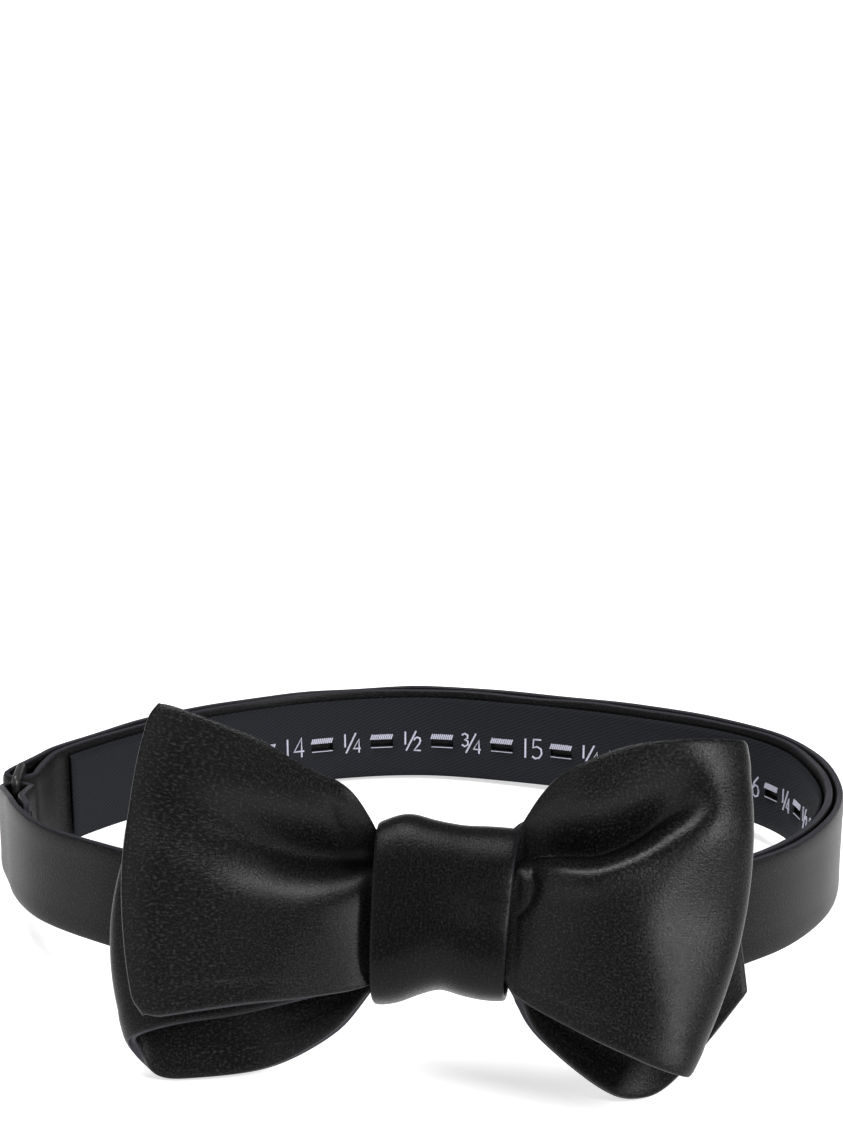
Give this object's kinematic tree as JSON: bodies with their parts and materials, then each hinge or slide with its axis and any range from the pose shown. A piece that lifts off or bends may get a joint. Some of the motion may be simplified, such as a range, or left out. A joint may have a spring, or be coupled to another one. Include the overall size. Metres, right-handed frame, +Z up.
{
  "type": "self-tie bow tie",
  "caption": "Tied satin butterfly bow tie: layered wings, wrapped knot and a doubled neckband with a slotted size tape, ring and T-hook for adjusting.",
  "frame": {"origin": "middle of the bounding box, on the surface the tie stands on", "axes": "+X to the right as the bow is seen from the front, +Y from the bow to the back of the neck, +Z up"},
  "size_m": [0.151, 0.1646, 0.0567],
  "materials": {
    "satin": "satin",
    "interlining": "matte",
    "woven_tape": "ribbed",
    "hook_metal": "brushed",
    "ring_metal": "gloss",
    "thread": "matte"
  },
  "bodies": {
    "neckband": {"long_band_face": "satin", "long_band_interlining": "interlining", "long_band_lining": "satin", "short_band_face": "satin", "short_band_interlining": "interlining", "short_band_lining": "satin", "knot_wrap_face": "satin", "knot_wrap_lining": "satin", "knot_waist_front": "satin", "knot_waist_back": "satin", "size_tape": "woven_tape", "t_hook": "hook_metal", "short_band_tack": "thread"},
    "front_left_wing": {"front_left_blade_face": "satin", "front_left_blade_interlining": "interlining", "front_left_blade_back": "satin"},
    "front_right_wing": {"front_right_loop_face": "satin", "front_right_loop_interlining": "interlining", "front_right_loop_lining": "satin"},
    "back_left_wing": {"back_left_loop_face": "satin", "back_left_loop_interlining": "interlining", "back_left_loop_lining": "satin"},
    "back_right_wing": {"back_right_blade_face": "satin", "back_right_blade_interlining": "interlining", "back_right_blade_back": "satin"},
    "ring": {"adjuster_ring": "ring_metal"}
  },
  "joints": [
    {"name": "front_left_wing_flex", "type": "hinge", "parent": "neckband", "child": "front_left_wing", "pos_m": [-0.00686, -0.06063, 0.03178], "axis": [0.0502, 0.5216, 0.8517], "range_deg": [0, 8], "stiffness_Nm_per_rad": 0.02},
    {"name": "front_right_wing_flex", "type": "hinge", "parent": "neckband", "child": "front_right_wing", "pos_m": [0.0157, -0.0624, 0.03154], "axis": [-0.0502, -0.5216, -0.8517], "range_deg": [0, 7], "stiffness_Nm_per_rad": 0.02},
    {"name": "back_left_wing_flex", "type": "hinge", "parent": "neckband", "child": "back_left_wing", "pos_m": [-0.00635, -0.0554, 0.02855], "axis": [-0.0502, -0.5216, -0.8517], "range_deg": [0, 3], "stiffness_Nm_per_rad": 0.02},
    {"name": "back_right_wing_flex", "type": "hinge", "parent": "neckband", "child": "back_right_wing", "pos_m": [0.01615, -0.05772, 0.02865], "axis": [0.0502, 0.5216, 0.8517], "range_deg": [0, 5], "stiffness_Nm_per_rad": 0.02},
    {"name": "ring_swing", "type": "hinge", "parent": "neckband", "child": "ring", "pos_m": [-0.0718, 0.01318, 0.01394], "axis": [0, 0, 1], "range_deg": [-4, 4]}
  ]
}
